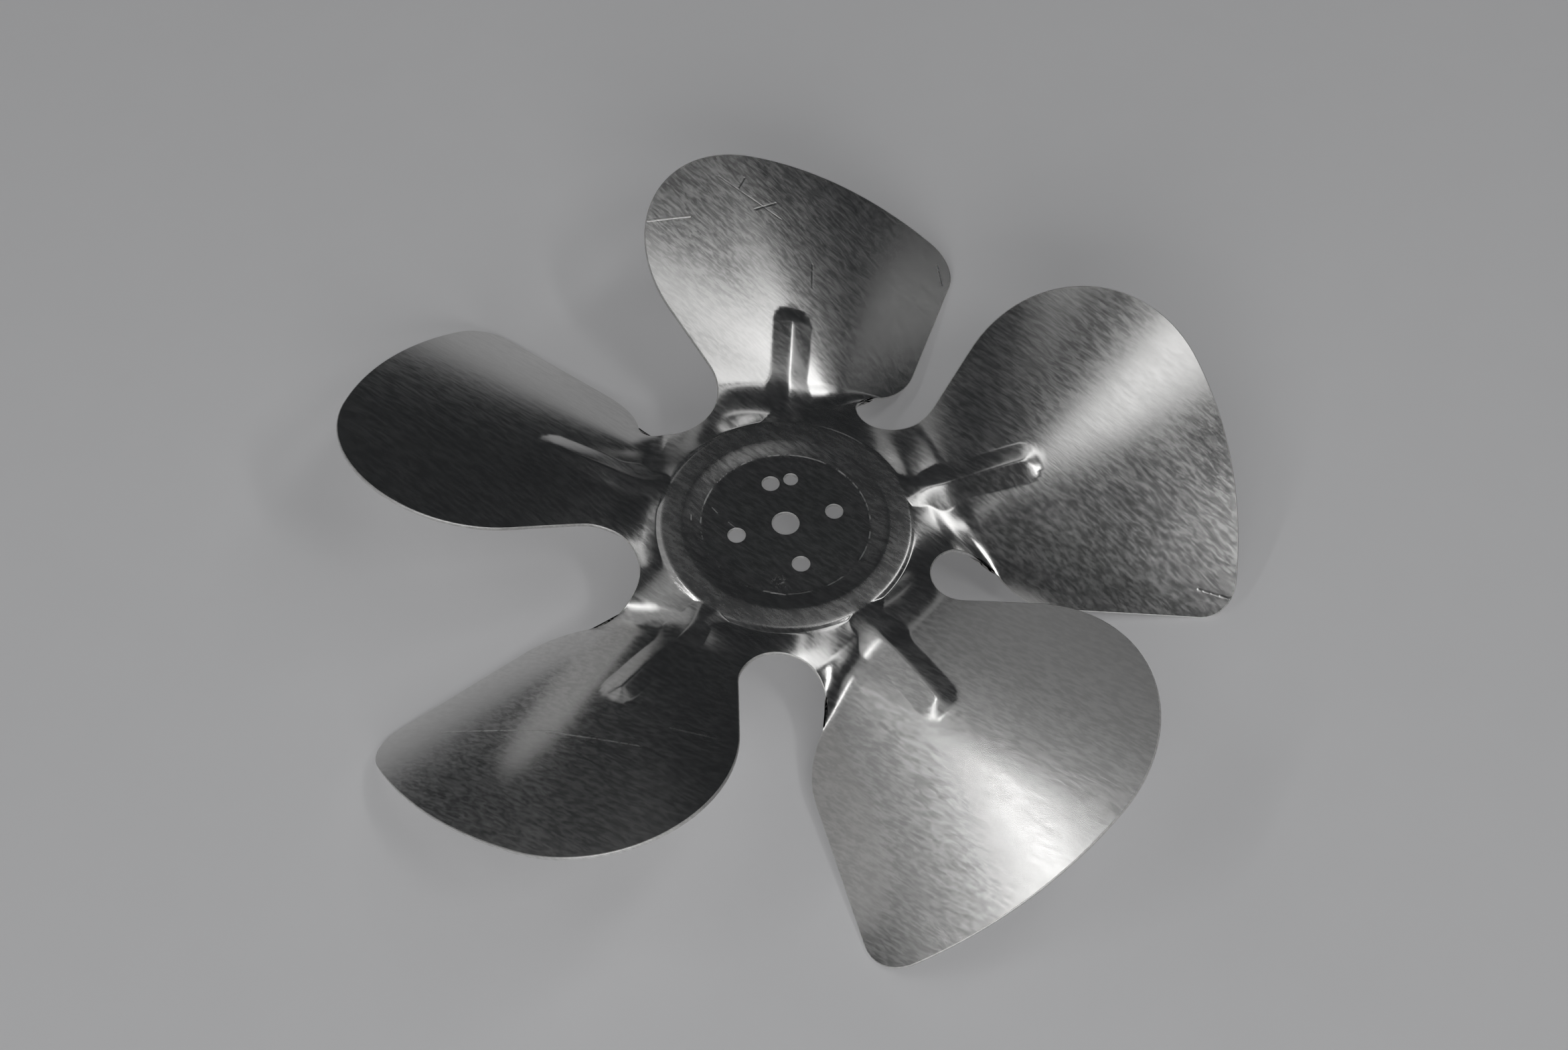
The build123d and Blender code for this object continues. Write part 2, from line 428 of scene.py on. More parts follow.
@dataclass(frozen=True)
class BladeOutline:
    """The blade's outline in plan, all of arcs and straight lines that touch."""

    overall_radius: float = 115.0
    tip_radius: float = 88.5
    tip_bearing: float = -10.8
    lead_radius: float = 33.5
    lead_bearing: float = 10.2
    trail_radius: float = 9.4
    trail_bearing: float = -23.6
    trail_lean: float = 18.0
    heel_radius: float = 21.3
    notch_bottom: float = 38.0
    notch_radius: float = 10.5
    half_sector: float = 0.5 * SECTOR

    def borders(self) -> dict[str, Array]:
        """Work out the outline's runs, each as a fine polyline.

        Returns:
            notch_ahead from the sector's border to the neck, lead_edge from the neck outward,
            outer round both corners and the tip, trail_edge from the neck to the outer run, and
            notch_behind from the neck to the sector's border.
        """
        tip = polar(self.overall_radius - self.tip_radius, self.tip_bearing)
        lead = tip + polar(self.tip_radius - self.lead_radius, self.lead_bearing)
        trail = tip + polar(self.tip_radius - self.trail_radius, self.trail_bearing)
        ahead = polar(self.notch_bottom + self.notch_radius, self.half_sector)
        behind = polar(self.notch_bottom + self.notch_radius, -self.half_sector)
        edge_along = polar(1.0, 180.0 - self.trail_lean)
        edge_out = polar(1.0, -90.0 - self.trail_lean)
        edge_start = trail + edge_out * self.trail_radius
        side = edge_start - edge_out * self.heel_radius
        gap = float((behind - side) @ edge_out)
        reach = float((behind - side) @ edge_along) - math.sqrt(
            (self.heel_radius + self.notch_radius) ** 2 - gap**2
        )
        heel = side + edge_along * reach
        edge_end = heel + edge_out * self.heel_radius
        toward = behind - heel
        heel_end = heel + toward / np.hypot(*toward) * self.heel_radius
        across = lead - ahead
        heading = math.degrees(math.atan2(across[1], across[0]))
        apart = float(np.hypot(*across))
        turn = math.degrees(math.asin((self.notch_radius + self.lead_radius) / apart))
        lead_start = ahead + polar(self.notch_radius, heading + turn - 90.0)
        lead_end = lead + polar(self.lead_radius, heading + turn + 90.0)
        tip_start = tip + polar(self.tip_radius, self.lead_bearing)
        tip_end = tip + polar(self.tip_radius, self.trail_bearing)
        outer = [
            arc(lead, lead_end, tip_start, count=200),
            arc(tip, tip_start, tip_end, count=200)[1:],
            arc(trail, tip_end, edge_start, count=160)[1:],
        ]
        ahead_start = polar(self.notch_bottom, self.half_sector)
        behind_end = polar(self.notch_bottom, -self.half_sector)
        heel_run = arc(heel, heel_end, edge_end, count=120)
        return {
            "notch_ahead": arc(ahead, ahead_start, lead_start, count=120),
            "lead_edge": np.stack([lead_start, lead_end]),
            "outer": np.concatenate(outer),
            "trail_edge": np.concatenate([heel_run, edge_start[None]]),
            "notch_behind": arc(behind, heel_end, behind_end, count=120),
        }


@dataclass(frozen=True)
class RoundHole:
    """A round hole through the hub disc, with its sheared edges slightly rounded."""

    x: float
    y: float
    radius: float
    segments: int = 64
    rounding: float = 0.13
    rounding_steps: int = 4

    def wall(self, sheet: float) -> tuple[Array, Array]:
        """Return the wall's rings and normals from the inlet face to the outlet face.

        Formula: circles about the hole's axis, wider by the rounding at both faces and closing in
        to the hole's radius with the edge's profile, whose normals turn to the axis.

        Args:
            sheet: thickness of the sheet.

        Returns:
            Points and normals of shape (rings, segments, 3).
        """
        down, out, up = rounded_edge(self.rounding, sheet, self.rounding_steps)
        radii = self.radius + self.rounding * (1.0 - out)
        angle = np.linspace(0.0, 2.0 * math.pi, self.segments, endpoint=False)
        x = self.x + radii[:, None] * np.cos(angle)[None]
        y = self.y + radii[:, None] * np.sin(angle)[None]
        points = np.stack([x, y, np.broadcast_to(-down[:, None], x.shape)], axis=-1)
        inward = -np.stack([np.cos(angle), np.sin(angle), np.zeros_like(angle)], axis=-1)
        upward = np.array([0.0, 0.0, 1.0])
        return points, inward * out[:, None, None] + upward * up[:, None, None]


class MeshMaker:
    """Collects grids of points with their normals and welds them into one closed mesh."""

    WELD_DISTANCE = 1.5e-6
    SLIVER_LENGTH = 1e-7
    SHORTEST_NORMAL = 1e-9

    def __init__(self) -> None:
        """Start with nothing."""
        self.points: list[Array] = []
        self.normals: list[Array] = []
        self.faces: list[Array] = []
        self.cut: list[Array] = []
        self.count = 0

    def add(self, points: Array, normals: Array, faces: Array, cut: float = 0.0) -> None:
        """Add a block of faces.

        Args:
            points: shape (..., 3).
            normals: the same shape.
            faces: rows of indices into the points.
            cut: 1 on a blanked edge and 0 on the sheet's faces.
        """
        self.points.append(points.reshape(-1, 3))
        self.normals.append(normals.reshape(-1, 3))
        self.faces.append(faces + self.count)
        self.cut.append(np.full(len(faces), cut))
        self.count += len(self.points[-1])

    def grid(
        self,
        points: Array,
        normals: Array,
        flip: bool = False,
        wrap: bool = False,
        cut: float = 0.0,
        copies: int = 1,
    ) -> None:
        """Add a grid of quads, repeated round the shaft.

        Args:
            points: shape (rows, columns, 3).
            normals: the same shape.
            flip: turns the faces round.
            wrap: joins the last column to the first.
            cut: 1 on a blanked edge and 0 on the sheet's faces.
            copies: how many times it stands round the shaft.
        """
        rows, columns = points.shape[:2]
        index = np.arange(rows * columns).reshape(rows, columns)
        if wrap:
            index = np.concatenate([index, index[:, :1]], axis=1)
        a, b, c, d = index[:-1, :-1], index[:-1, 1:], index[1:, 1:], index[1:, :-1]
        quads = np.stack([a, b, c, d], axis=-1).reshape(-1, 4)
        quads = quads[:, ::-1] if flip else quads
        for angle in (step * 360.0 / copies for step in range(copies)):
            self.add(turned(points, angle), turned(normals, angle), quads, cut)

    def build(self, name: str) -> bpy.types.Object:
        """Weld what was collected and return it as an object at the origin, in metres.

        Args:
            name: name of the object and its mesh.

        Returns:
            The new object, smooth-shaded with the surfaces' own normals.
        """
        points = np.concatenate(self.points) * MM
        normals = np.concatenate(self.normals)
        faces = [face for block in self.faces for face in block.tolist()]
        mesh = bpy.data.meshes.new(name)
        mesh.from_pydata(points.tolist(), [], faces)
        wanted = mesh.attributes.new("wanted", "FLOAT_VECTOR", "POINT")
        wanted.data.foreach_set("vector", normals.astype(np.float32).ravel())
        cut = mesh.attributes.new("cut_edge", "FLOAT", "FACE")
        cut.data.foreach_set("value", np.concatenate(self.cut).astype(np.float32))
        work = bmesh.new()
        work.from_mesh(mesh)
        bmesh.ops.remove_doubles(work, verts=work.verts, dist=self.WELD_DISTANCE)
        bmesh.ops.dissolve_degenerate(work, edges=work.edges, dist=self.SLIVER_LENGTH)
        open_edges = sum(1 for edge in work.edges if len(edge.link_faces) != 2)
        work.to_mesh(mesh)
        work.free()
        kept = np.empty(len(mesh.vertices) * 3, dtype=np.float32)
        mesh.attributes["wanted"].data.foreach_get("vector", kept)
        mesh.attributes.remove(mesh.attributes["wanted"])
        kept = kept.reshape(-1, 3)
        length = np.linalg.norm(kept, axis=1, keepdims=True)
        kept /= np.maximum(length, self.SHORTEST_NORMAL)
        mesh.polygons.foreach_set("use_smooth", np.ones(len(mesh.polygons), dtype=bool))
        mesh.normals_split_custom_set_from_vertices(kept.tolist())
        mesh.update()
        triangles = sum(len(polygon.vertices) - 2 for polygon in mesh.polygons)
        LOG.info("%s: %d triangles, %d open edges", name, triangles, open_edges)
        return put(name, mesh)


@dataclass(frozen=True)
class ImpellerPressing:
    """The whole impeller: hub disc, ring, flange, ribbed blades and their blanked edges.

    hub_radii are the rows of the hub's grid, closer together where the ring's profile bends.
    """

    shape: PressedShape = field(default_factory=PressedShape)
    outline: BladeOutline = field(default_factory=BladeOutline)
    hub_radii: tuple[float, ...] = (
        20.0, 20.3, 20.55, 20.7, 20.8, 20.9, 21.1, 21.5, 22.3, 23.3, 24.3,
        25.1, 25.5, 25.72, 25.88, 26.05, 26.35, 26.9, 27.8, 28.8, 29.8, 30.5,
        30.85, 31.05, 31.2, 31.4, 31.7, 31.95, 32.1, 32.2, 32.32, 32.6, 33.0,
    )  # fmt: skip
    neck_bearing: float = 15.4
    notch_columns: int = 15
    neck_columns: int = 84
    root_rows: int = 22
    blade_rows: int = 42
    rib_share: float = 0.53
    rib_spread: float = 0.17
    nose_spread: float = 0.34
    crowding: float = 1.3
    tip_pull: float = 6.0
    heel_pull: float = 2.0
    edge_rounding: float = 0.24
    edge_steps: int = 5
    holes: tuple[RoundHole, ...] = (
        RoundHole(0.0, 0.0, 3.35, 72),
        RoundHole(12.7, 0.0, 2.15),
        RoundHole(0.0, 12.7, 2.15),
        RoundHole(-12.7, 0.0, 2.15),
        RoundHole(0.0, -12.7, 2.15),
        RoundHole(5.2483, 12.5466, 1.75),
    )

    def column_shares(self) -> Array:
        """Return where the columns cross the neck, closer together over the rib."""
        return crowded(self.neck_columns, self.rib_share, self.rib_spread, self.crowding)

    def row_shares(self) -> Array:
        """Return where the rows cross the blade, closer together beside the rib."""
        return crowded(self.blade_rows, 0.0, self.nose_spread, self.crowding)

    def bearings(self) -> Array:
        """Return the bearings at which the columns leave the hub, from +36 to -36 degrees."""
        half = self.outline.half_sector
        ahead = np.linspace(half, self.neck_bearing, self.notch_columns + 1)
        neck = self.neck_bearing * (1.0 - 2.0 * self.column_shares())
        return np.concatenate([ahead, neck[1:], -ahead[::-1][1:]])

    def _rim(self) -> Array:
        """Return one sector's outline points in order, spaced as the grids' borders are."""
        runs = self.outline.borders()
        columns, rows = self.column_shares(), self.row_shares()
        notch = np.linspace(0.0, 1.0, self.notch_columns + 1)
        ahead = along(runs["notch_ahead"], notch)
        behind = along(runs["notch_behind"], notch)
        outer = along(runs["outer"], columns, pull=self.tip_pull)
        lead = along(runs["lead_edge"], rows)
        # The trailing side leaves the neck along the heel's bend, where the points are needed.
        trail = along(runs["trail_edge"], rows, pull=self.heel_pull)
        return np.concatenate([ahead, lead[1:], outer[1:], trail[::-1][1:], behind[1:]])

    def _inset(self, rim: Array) -> Array:
        """Move the outline inward by the edge's rounding, to where the flat faces end.

        Args:
            rim: the outline's plan points in order.

        Returns:
            The moved points, the ends still on the sector's borders.
        """
        run = np.gradient(rim, axis=0)
        run /= np.hypot(run[:, 0], run[:, 1])[:, None]
        inward = np.stack([run[:, 1], -run[:, 0]], axis=-1)
        moved = rim + inward * self.edge_rounding
        half = self.outline.half_sector
        for row, bearing in ((0, half), (-1, -half)):
            moved[row] = polar(self.outline.notch_bottom - self.edge_rounding, bearing)
        return moved

    def plan(self) -> dict[str, Array]:
        """Lay out one sector's plan grids, inside the outline moved in by the edge's rounding.

        Returns:
            hub, root and blade, each of shape (rows, columns, 2), and rim: the moved outline's
            points in order.
        """
        rim = self._inset(self._rim())
        neck_at = self.notch_columns
        lead_end = neck_at + self.blade_rows
        outer_end = lead_end + self.neck_columns
        trail_end = outer_end + self.blade_rows
        ahead = rim[: neck_at + 1]
        lead = rim[neck_at : lead_end + 1]
        outer = rim[lead_end : outer_end + 1]
        trail = rim[outer_end : trail_end + 1][::-1]
        behind = rim[trail_end:]
        hub = polar(np.array(self.hub_radii)[:, None], self.bearings()[None, :])
        neck = along(np.stack([ahead[-1], behind[0]]), self.column_shares())
        top = np.concatenate([ahead, neck[1:], behind[1:]])
        climb = np.linspace(0.0, 1.0, self.root_rows + 1)[:, None, None]
        root = (1.0 - climb) * hub[-1][None] + climb * top[None]
        blade = coons(neck, outer, lead, trail, self.column_shares(), self.row_shares())
        return {"hub": hub, "root": root, "blade": blade, "rim": rim}

    def _rim_rows(self, rim: Array) -> tuple[Array, Array]:
        """Carry the blanked edge's rounded profile along the outline.

        Formula: the points go from the inlet face to the outlet face along the sheet's own normal,
        and stand out from the moved outline by the rounding times the sine of a quarter turn.

        Args:
            rim: the moved outline's plan points, shape (count, 2).

        Returns:
            Points and normals of shape (rows, count, 3).
        """
        upper, _ = self.shape.inlet(rim)
        lower, _ = self.shape.outlet(rim)
        run = np.gradient(upper, axis=0)
        run /= np.linalg.norm(run, axis=1, keepdims=True)
        through = (lower - upper) / np.linalg.norm(lower - upper, axis=1, keepdims=True)
        outward = np.cross(run, through)
        # The two ends meet the next blades' rims, so they point straight out from the shaft.
        for row in (0, -1):
            away = np.array([rim[row, 0], rim[row, 1], 0.0])
            outward[row] = away - through[row] * (away @ through[row])
        outward /= np.linalg.norm(outward, axis=1, keepdims=True)
        profile = rounded_edge(self.edge_rounding, self.shape.sheet, self.edge_steps)
        down, out, up = (row[:, None, None] for row in profile)
        points = upper + down * through + self.edge_rounding * out * outward
        return points, out * outward - up * through

    def build(self) -> bpy.types.Object:
        """Build the pressing as one closed mesh and return it."""
        maker = MeshMaker()
        plan = self.plan()
        for name, outlet_step in (("hub", 2), ("root", 2), ("blade", 1)):
            maker.grid(*self.shape.inlet(plan[name]), copies=BLADES)
            maker.grid(*self.shape.outlet(plan[name][::outlet_step]), flip=True, copies=BLADES)
        maker.grid(*self._rim_rows(plan["rim"]), cut=1.0, copies=BLADES)
        self._disc(maker, plan["hub"][0])
        return maker.build("impeller_pressing")

    def _disc(self, maker: MeshMaker, first_row: Array) -> None:
        """Fill the flat disc inside the ring on both faces, and line its holes.

        Args:
            maker: where the faces go.
            first_row: plan points of one sector on the disc's rim.
        """
        sheet = self.shape.sheet
        flat = np.concatenate([first_row, np.zeros((len(first_row), 1))], axis=1)
        # Blades follow one another against the bearing, so the rim is walked the same way round.
        rim = np.concatenate([turned(flat, -step * SECTOR)[:-1] for step in range(BLADES)])
        edge = self.shape.inlet(rim[:, :2])[0]
        walls = [hole.wall(sheet) for hole in self.holes]
        loops = [edge] + [points[0] for points, _ in walls]
        corners = np.concatenate(loops)
        lists = [[Vector(point) for point in loop.tolist()] for loop in loops]
        triangles = np.array(tessellate_polygon(lists))
        a, b, c = (corners[triangles[:, i]] for i in range(3))
        up = np.cross(b - a, c - a)[:, 2] > 0.0
        triangles[~up] = triangles[~up][:, ::-1]
        upward = np.broadcast_to([0.0, 0.0, 1.0], corners.shape)
        maker.add(corners, upward, triangles)
        below = corners.copy()
        below[:, 2] -= sheet
        below[: len(edge)] = self.shape.outlet(rim[:, :2])[0]
        maker.add(below, -upward, triangles[:, ::-1])
        for points, normals in walls:
            maker.grid(points, normals, wrap=True, cut=1.0)


# --- Finishes ---


class NodeBoard:
    """A short way to lay out a material's nodes."""

    MEASURES = ("DISTANCE", "DOT_PRODUCT", "LENGTH")

    def __init__(self, material: bpy.types.Material) -> None:
        """Clear the material's nodes and start on them."""
        material.use_nodes = True
        self.tree = material.node_tree
        self.tree.nodes.clear()

    def node(
        self, kind: str, inputs: dict[str, object] | None = None, **settings: object
    ) -> bpy.types.Node:
        """Add a node.

        Args:
            kind: its type.
            inputs: sockets, numbers or vectors for its inputs, by name.
            settings: values for its properties.

        Returns:
            The node.
        """
        made = self.tree.nodes.new(kind)
        for name, value in settings.items():
            setattr(made, name, value)
        for name, value in (inputs or {}).items():
            self._feed(made.inputs[name], value)
        return made

    def _feed(self, socket: Socket, value: object) -> None:
        """Link a socket, or set a number or a vector on it."""
        if isinstance(value, Socket):
            self.tree.links.new(value, socket)
        else:
            socket.default_value = value

    def _operate(self, made: bpy.types.Node, values: tuple[object, ...], result: str) -> Socket:
        """Feed a node's inputs in order and return one of its results."""
        for socket, value in zip(made.inputs, values):
            self._feed(socket, value)
        return made.outputs[result]

    def math(self, operation: str, *values: object) -> Socket:
        """Return the result of a Math node on numbers or sockets."""
        return self._operate(self.node("ShaderNodeMath", operation=operation), values, "Value")

    def vector(self, operation: str, *values: object) -> Socket:
        """Return the result of a Vector Math node: a number where it measures, else a vector."""
        made = self.node("ShaderNodeVectorMath", operation=operation)
        return self._operate(made, values, "Value" if operation in self.MEASURES else "Vector")

    def scaled(self, vector: tuple[float, float, float], factor: Socket) -> Socket:
        """Return a fixed vector or colour times a factor."""
        inputs = {"Vector": vector, "Scale": factor}
        return self.node("ShaderNodeVectorMath", inputs, operation="SCALE").outputs["Vector"]

    def ramp(
        self, value: Socket, low: float, high: float, to_low: float = 0.0, to_high: float = 1.0
    ) -> Socket:
        """Map a value to another range with soft ends.

        Args:
            value: what is mapped.
            low: where the ramp starts.
            high: where it ends.
            to_low: the result up to the start.
            to_high: the result from the end on.

        Returns:
            The result.
        """
        inputs = {"From Min": low, "From Max": high, "To Min": to_low, "To Max": to_high}
        made = self.node("ShaderNodeMapRange", inputs, interpolation_type="SMOOTHSTEP", clamp=True)
        self._feed(made.inputs["Value"], value)
        return made.outputs["Result"]

    def noise(
        self, where: Socket, scale: float = 1.0, detail: float = 2.0, rough: float = 0.5
    ) -> Socket:
        """Return the value of a Noise texture."""
        inputs = {"Vector": where, "Scale": scale, "Detail": detail, "Roughness": rough}
        return self.node("ShaderNodeTexNoise", inputs).outputs["Fac"]

    def mapped(self, where: Socket, turn: float, scale: tuple[float, float, float]) -> Socket:
        """Return coordinates turned about Z by degrees, then scaled along the turned axes."""
        inputs = {"Vector": where, "Angle": math.radians(turn)}
        rotated = self.node("ShaderNodeVectorRotate", inputs, rotation_type="Z_AXIS")
        return self.vector("MULTIPLY", rotated.outputs["Vector"], scale)

    def place(self) -> Socket:
        """Return the Object coordinates."""
        return self.node("ShaderNodeTexCoord").outputs["Object"]

    def surface(self, shader: bpy.types.Node) -> None:
        """Make a shader the material's surface."""
        self.node("ShaderNodeOutputMaterial", {"Surface": shader.outputs[0]})


@dataclass(frozen=True)
class Mix:
    """A level, and how much each of the sheet's patterns adds to it."""

    level: float
    fine: float = 0.0
    streak: float = 0.0
    cloud: float = 0.0
    wave: float = 0.0
    band: float = 0.0
    scuff: float = 0.0
    bright: float = 0.0
    dark: float = 0.0
    cut: float = 0.0

    def build(self, board: NodeBoard, patterns: dict[str, Socket]) -> Socket:
        """Add the patterns up.

        Args:
            board: where the nodes go.
            patterns: the patterns by name.

        Returns:
            The level plus each pattern times its weight.
        """
        total: object = self.level
        for name in (entry.name for entry in fields(self)[1:] if getattr(self, entry.name)):
            part = board.math("MULTIPLY", patterns[name], getattr(self, name))
            total = board.math("ADD", total, part)
        return total


@dataclass(frozen=True)
class Scratch:
    """A straight mark on one blade's sector, between two plan points in millimetres.

    The points are those of the first blade's sector, and the mark is turned with its own.
    """

    sector: int
    start: tuple[float, float]
    end: tuple[float, float]
    width: float = 0.35
    strength: float = 1.0
    core: float = 0.1

    def mask(self, board: NodeBoard, plan: Socket) -> Socket:
        """Return how strongly the mark covers a place: full on its line and fading over its width.

        Formula: the distance from the segment, by the place's projection on it, held to its ends.

        Args:
            board: where the nodes go.
            plan: plan coordinates in millimetres.

        Returns:
            A socket from 0 to the mark's strength.
        """
        turn = Matrix.Rotation(math.radians(SECTOR * self.sector), 2)
        start, end = turn @ Vector(self.start), turn @ Vector(self.end)
        length = (end - start).length
        unit = (*((end - start) / length), 0.0)
        away = board.vector("SUBTRACT", plan, (*start, 0.0))
        forward = board.vector("DOT_PRODUCT", away, unit)
        held = board.math("MINIMUM", board.math("MAXIMUM", forward, 0.0), length)
        gap = board.vector("DISTANCE", away, board.scaled(unit, held))
        return board.ramp(gap, self.core * self.width, self.width, self.strength, 0.0)


@dataclass(frozen=True)
class RolledAluminium:
    """Mill-finish sheet: short rolling streaks, soft clouds, a scuffed disc edge and a few marks.

    The grain runs one way over the whole sheet, as it was rolled before the blades were pressed.
    Its cycles are for each metre along the grain, across it and through the sheet, and the other
    sizes are in millimetres.
    """

    color: tuple[float, float, float] = (0.80, 0.795, 0.785)
    grain_bearing: float = -55.3
    anisotropy: float = 0.15
    fine_cycles: tuple[float, float, float] = (260.0, 1150.0, 700.0)
    streak_cycles: tuple[float, float, float] = (70.0, 420.0, 250.0)
    band_inner: tuple[float, float] = (25.6, 26.2)
    band_outer: tuple[float, float] = (30.9, 31.6)
    scuff_radius: float = 21.1
    scuff_width: tuple[float, float] = (0.08, 0.26)
    smudge_at: tuple[float, float, float] = (-6.6, -16.2, 0.0)
    smudge_reach: tuple[float, float] = (0.5, 3.4)
    smudge_strength: float = 0.8
    roughness: Mix = Mix(
        0.11, fine=0.05, streak=0.08, cloud=0.06, band=0.06, scuff=0.22, bright=0.30, cut=0.30
    )
    tone: Mix = Mix(
        0.82, fine=0.17, streak=0.10, cloud=0.08, scuff=0.12, bright=0.15, dark=-0.6
    )
    relief_metres: Mix = Mix(
        0.0, fine=1.8e-6, streak=0.9e-5, wave=5.0e-5, bright=2.0e-5, dark=-3.0e-5
    )
    bright_marks: tuple[Scratch, ...] = (
        Scratch(0, (-16.15, 9.79), (-15.35, 7.84), 0.16),
        Scratch(0, (-13.52, 4.36), (-12.39, 2.35), 0.16),
        Scratch(0, (-11.1, -17.7), (-6.4, -20.3), 0.34),
        Scratch(0, (-21.9, 8.9), (-22.3, 7.4), 0.22, 0.7),
        Scratch(1, (83.2, 37.9), (87.7, 26.8), 0.38, 0.9),
        Scratch(1, (100.5, -41.9), (94.6, -43.1), 0.4, 0.5),
        Scratch(3, (75.0, 15.0), (82.0, -8.0), 0.32, 0.5),
        Scratch(3, (80.0, -5.0), (92.0, -33.0), 0.32, 0.45),
        Scratch(3, (64.0, 28.0), (67.0, 17.0), 0.32, 0.45),
    )
    dark_marks: tuple[Scratch, ...] = (
        Scratch(1, (105.0, 12.6), (101.4, 14.0), 0.35, 0.8),
        Scratch(1, (95.6, 9.6), (99.8, 4.0), 0.4, 0.9),
        Scratch(1, (103.0, 19.5), (95.0, 2.5), 0.3, 0.4),
        Scratch(1, (83.5, -6.2), (75.8, -6.2), 0.4, 0.7),
        Scratch(0, (97.0, -39.6), (104.7, -43.9), 0.4, 0.8),
    )

    def build(self, name: str) -> bpy.types.Material:
        """Build the material.

        Args:
            name: its name.

        Returns:
            The material, with colour, roughness and bump from its nodes.
        """
        material = bpy.data.materials.new(name)
        board = NodeBoard(material)
        patterns = self._patterns(board, board.place())
        # The tangent is the rolling direction, along which highlights are drawn out.
        angle = math.radians(self.grain_bearing)
        grain = {"X": math.cos(angle), "Y": math.sin(angle)}
        height = self.relief_metres.build(board, patterns)
        relief = {"Strength": 1.0, "Distance": 1.0, "Height": height}
        inputs = {
            "Metallic": 1.0,
            "Anisotropic": self.anisotropy,
            "Base Color": board.scaled(self.color, self.tone.build(board, patterns)),
            "Roughness": self.roughness.build(board, patterns),
            "Normal": board.node("ShaderNodeBump", relief).outputs["Normal"],
            "Tangent": board.node("ShaderNodeCombineXYZ", grain).outputs["Vector"],
        }
        board.surface(board.node("ShaderNodeBsdfPrincipled", inputs))
        return material

    def _patterns(self, board: NodeBoard, place: Socket) -> dict[str, Socket]:
        """Lay out the patterns from which colour, roughness and relief are mixed.

        Args:
            board: where the nodes go.
            place: Object coordinates in metres.

        Returns:
            Sockets from 0 to 1, by name.
        """
        plan = board.vector("MULTIPLY", place, (1000.0, 1000.0, 0.0))
        along_fine = board.mapped(place, -self.grain_bearing, self.fine_cycles)
        along_streak = board.mapped(place, -self.grain_bearing, self.streak_cycles)
        fine = board.noise(along_fine, detail=2.0, rough=0.7)
        radius = board.vector("LENGTH", plan)
        scuff = self._ring_scuff(board, radius, place)
        smudge = self._disc_smudge(board, plan, place)
        grains = board.noise(place, scale=900.0, detail=1.0)
        broken = board.ramp(grains, low=0.32, high=0.55, to_low=0.45, to_high=1.0)
        return {
            "fine": board.ramp(fine, low=0.34, high=0.66),
            "streak": board.noise(along_streak, detail=3.0, rough=0.6),
            "cloud": board.noise(place, scale=42.0, detail=4.0, rough=0.6),
            "wave": board.noise(place, scale=22.0, detail=1.0, rough=0.4),
            "band": self._ring_band(board, radius),
            "scuff": board.math("MAXIMUM", scuff, smudge),
            "bright": self._marks(board, plan, broken, self.bright_marks),
            "dark": self._marks(board, plan, broken, self.dark_marks),
            "cut": board.node("ShaderNodeAttribute", attribute_name="cut_edge").outputs["Fac"],
        }

    @staticmethod
    def _marks(
        board: NodeBoard, plan: Socket, broken: Socket, marks: tuple[Scratch, ...]
    ) -> Socket:
        """Return the strongest of several marks at each place, broken up along their length.

        Args:
            board: where the nodes go.
            plan: plan coordinates in millimetres.
            broken: how much of a mark is left at each place.
            marks: the marks.

        Returns:
            A socket from 0 to 1.
        """
        total: object = 0.0
        for mark in marks:
            total = board.math("MAXIMUM", total, mark.mask(board, plan))
        return board.math("MULTIPLY", total, broken)

    def _ring_band(self, board: NodeBoard, radius: Socket) -> Socket:
        """Return the ring's flat top, which the press tool has rubbed duller than the sheet."""
        inner = board.ramp(radius, *self.band_inner)
        outer = board.ramp(radius, *self.band_outer, to_low=1.0, to_high=0.0)
        return board.math("MULTIPLY", inner, outer)

    def _ring_scuff(self, board: NodeBoard, radius: Socket, place: Socket) -> Socket:
        """Return the broken bright line rubbed round the edge of the hub disc."""
        off = board.math("ABSOLUTE", board.math("SUBTRACT", radius, self.scuff_radius))
        line = board.ramp(off, *self.scuff_width, to_low=1.0, to_high=0.0)
        grains = board.noise(place, scale=260.0, detail=3.0, rough=0.7)
        return board.math("MULTIPLY", line, board.ramp(grains, low=0.44, high=0.60))

    def _disc_smudge(self, board: NodeBoard, plan: Socket, place: Socket) -> Socket:
        """Return the small rubbed patch near the disc's edge."""
        gap = board.vector("DISTANCE", plan, self.smudge_at)
        spot = board.ramp(gap, *self.smudge_reach, to_low=1.0, to_high=0.0)
        grains = board.noise(place, scale=1400.0, detail=3.0, rough=0.7)
        rubbed = board.math("MULTIPLY", spot, board.ramp(grains, low=0.50, high=0.66))
        return board.math("MULTIPLY", rubbed, self.smudge_strength)


